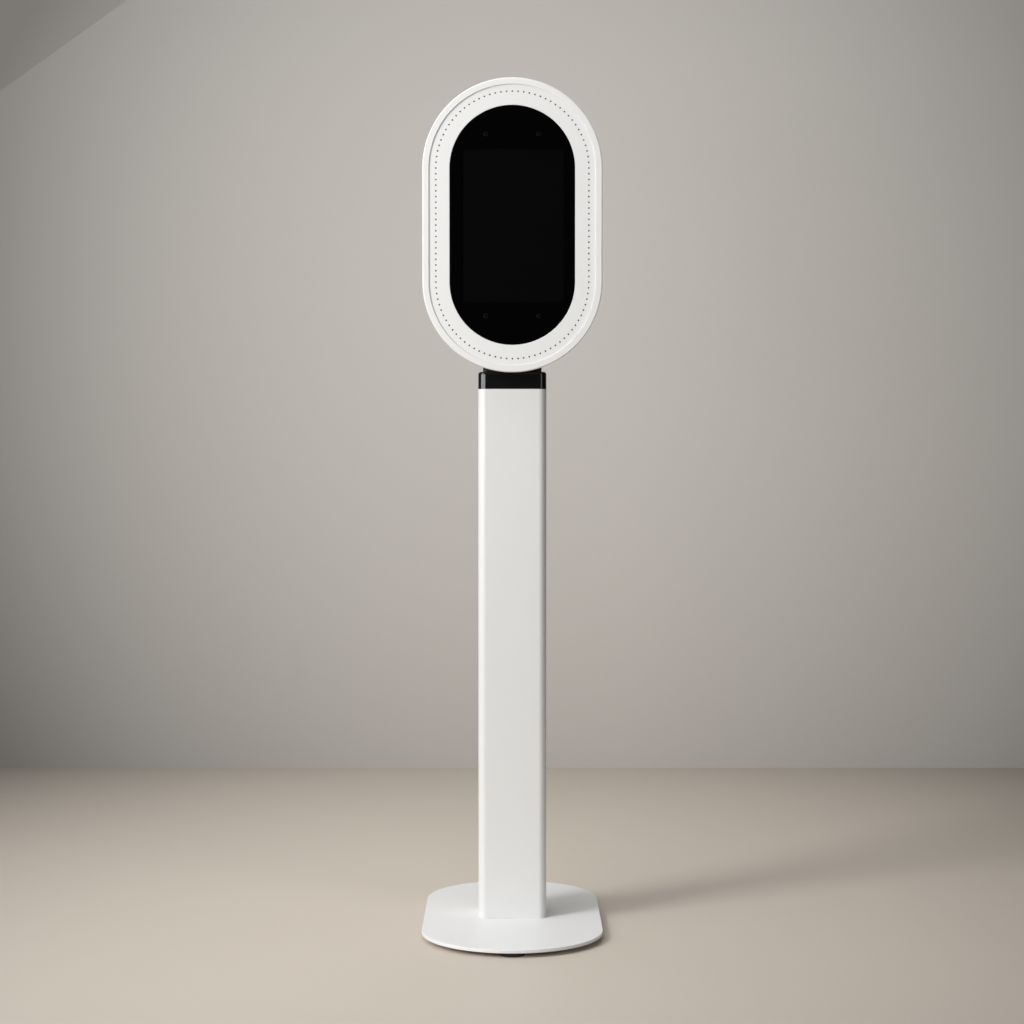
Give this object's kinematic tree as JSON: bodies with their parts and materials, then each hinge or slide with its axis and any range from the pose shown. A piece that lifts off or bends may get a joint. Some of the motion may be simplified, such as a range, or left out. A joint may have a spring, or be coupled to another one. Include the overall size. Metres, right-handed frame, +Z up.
{
  "type": "photo booth",
  "caption": "Free-standing photo booth: stadium-shaped tilting head with tablet screen, black bezel and light ring, on a square column and a weighted plate.",
  "frame": {"origin": "on the floor under the middle of the base plate", "axes": "+Z up, the screen faces -Y, +X to the right seen from the front"},
  "size_m": [0.32, 0.5868, 1.5199],
  "materials": {
    "base_paint": "white textured powder coat",
    "column_coat": "white satin powder coat on aluminium",
    "white_shell": "white satin moulded shell",
    "bezel_black": "black gloss acrylic",
    "black_plastic": "black satin moulded plastic",
    "black_metal": "black powder coat",
    "screen_glass": "dark glass",
    "lens_glass": "dark glass",
    "tablet_metal": "anodised",
    "zinc": "zinc plated",
    "black_screw": "black oxide",
    "plate_steel": "zinc plated sheet",
    "brass": "machined",
    "foot_rubber": "moulded",
    "pad_rubber": "moulded",
    "cable_black": "PVC sleeve",
    "board_black": "solder mask",
    "light_body": "phosphor",
    "nylon": "natural nylon",
    "supply_case": "sheet case"
  },
  "bodies": {
    "stand": {"base_plate": "base_paint", "rubber_feet": "foot_rubber", "foot_screws": "zinc", "column_foot": "plate_steel", "base_bolts": "zinc", "column_tube": "column_coat", "hatch_cover": "column_coat", "hatch_screws": "zinc", "mains_inlet": "black_plastic", "inlet_pins": "brass", "power_switch": "black_plastic", "supply_bracket": "plate_steel", "power_supply": "supply_case", "supply_screws": "zinc", "mains_leads": "cable_black", "collar": "black_plastic", "neck_post": "black_metal", "neck_bolts": "black_screw", "neck_nuts": "zinc", "pivot_bolts": "black_screw", "friction_washers": "nylon", "pivot_nuts": "zinc", "supply_cable": "cable_black", "coupler_socket": "black_plastic"},
    "rocker": {"power_rocker": "black_plastic"},
    "head": {"tilt_bracket": "black_metal", "bracket_bolts": "zinc", "head_housing": "white_shell", "face_ring": "white_shell", "bezel": "bezel_black", "bezel_screws": "black_screw", "light_board": "board_black", "ring_lights": "light_body", "light_screws": "zinc", "display_chassis": "plate_steel", "ring_screws": "zinc", "tablet_case": "tablet_metal", "tablet_glass": "screen_glass", "camera_lens": "lens_glass", "tablet_clamps": "plate_steel", "clamp_screws": "zinc", "clamp_pads": "pad_rubber", "spine_plate": "plate_steel", "spine_screws": "zinc", "chassis_spacers": "zinc", "rear_cover": "white_shell", "cover_screws": "black_screw", "door_pin": "zinc", "driver_board": "board_black", "driver_posts": "nylon", "driver_parts": "supply_case", "coupler_plug": "black_plastic", "head_lead": "cable_black", "tablet_plug": "black_plastic", "tablet_lead": "cable_black"},
    "tablet_key": {"tablet_button": "tablet_metal"},
    "door": {"service_door": "white_shell", "lock_barrel": "zinc"},
    "lock": {"lock_plug": "zinc", "lock_cam": "zinc"}
  },
  "joints": [
    {"name": "head_tilt", "type": "hinge", "parent": "stand", "child": "head", "pos_m": [0, 0.012, 1.19], "axis": [-1, 0, 0], "range_deg": [0, 15]},
    {"name": "door_swing", "type": "hinge", "parent": "head", "child": "door", "pos_m": [-0.084, -0.0105, 1.369], "axis": [0, 0, 1], "range_deg": [0, 110]},
    {"name": "lock_turn", "type": "hinge", "parent": "door", "child": "lock", "pos_m": [0.06, -0.014, 1.369], "axis": [0, 1, 0], "range_deg": [0, 90]},
    {"name": "power_rock", "type": "hinge", "parent": "stand", "child": "rocker", "pos_m": [0, 0.0493, 0.172], "axis": [-1, 0, 0], "range_deg": [0, 16]},
    {"name": "tablet_power", "type": "slide", "parent": "head", "child": "tablet_key", "axis": [0, 0, -1], "range_m": [0, 0.0006], "stiffness_N_per_m": 2500}
  ]
}
